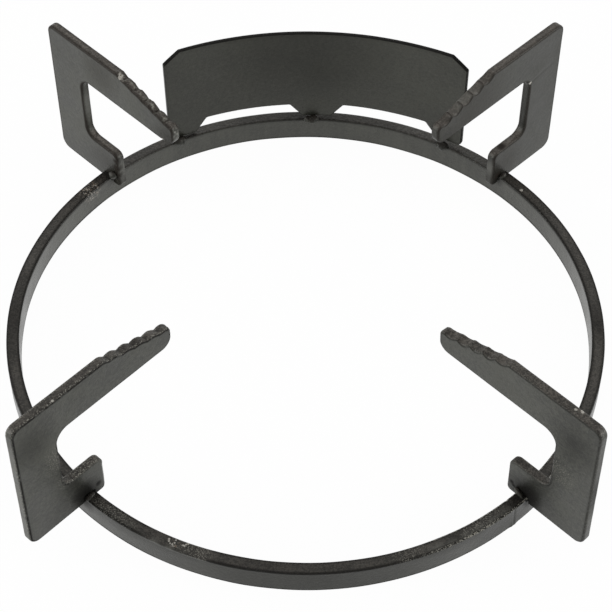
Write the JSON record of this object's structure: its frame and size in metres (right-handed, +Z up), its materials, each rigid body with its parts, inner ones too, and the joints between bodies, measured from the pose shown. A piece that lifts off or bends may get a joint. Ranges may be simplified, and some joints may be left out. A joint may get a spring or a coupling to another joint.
{
  "type": "stove pot holder",
  "caption": "Round flat-bar ring with slotted, serrated arm plates and a curved heat shield, which holds a pot above a gas burner.",
  "frame": {"origin": "on the ring's axis, level with the ring's flat bottom edge that rests on the hob", "axes": "+Z up along the ring's axis, +Y toward the heat shield at the back, +X to the right seen from the front"},
  "size_m": [0.24, 0.24, 0.0783],
  "materials": {
    "ring_coating": "matt black heat-proof coating, slightly grainy",
    "arm_coating": "matt black heat-proof coating, slightly grainy",
    "shield_coating": "matt black heat-proof coating on sheet",
    "weld_coating": "coated weld bead"
  },
  "bodies": {
    "root": {"ring": "ring_coating", "arm_front_left": "arm_coating", "arm_front_right": "arm_coating", "arm_rear_left": "arm_coating", "arm_rear_right": "arm_coating", "heat_shield": "shield_coating", "weld_front_left_ccw": "weld_coating", "weld_front_left_cw": "weld_coating", "weld_front_right_ccw": "weld_coating", "weld_front_right_cw": "weld_coating", "weld_rear_left_ccw": "weld_coating", "weld_rear_left_cw": "weld_coating", "weld_rear_right_ccw": "weld_coating", "weld_rear_right_cw": "weld_coating", "weld_shield_left": "weld_coating", "weld_shield_centre": "weld_coating", "weld_shield_right": "weld_coating"}
  },
  "joints": []
}
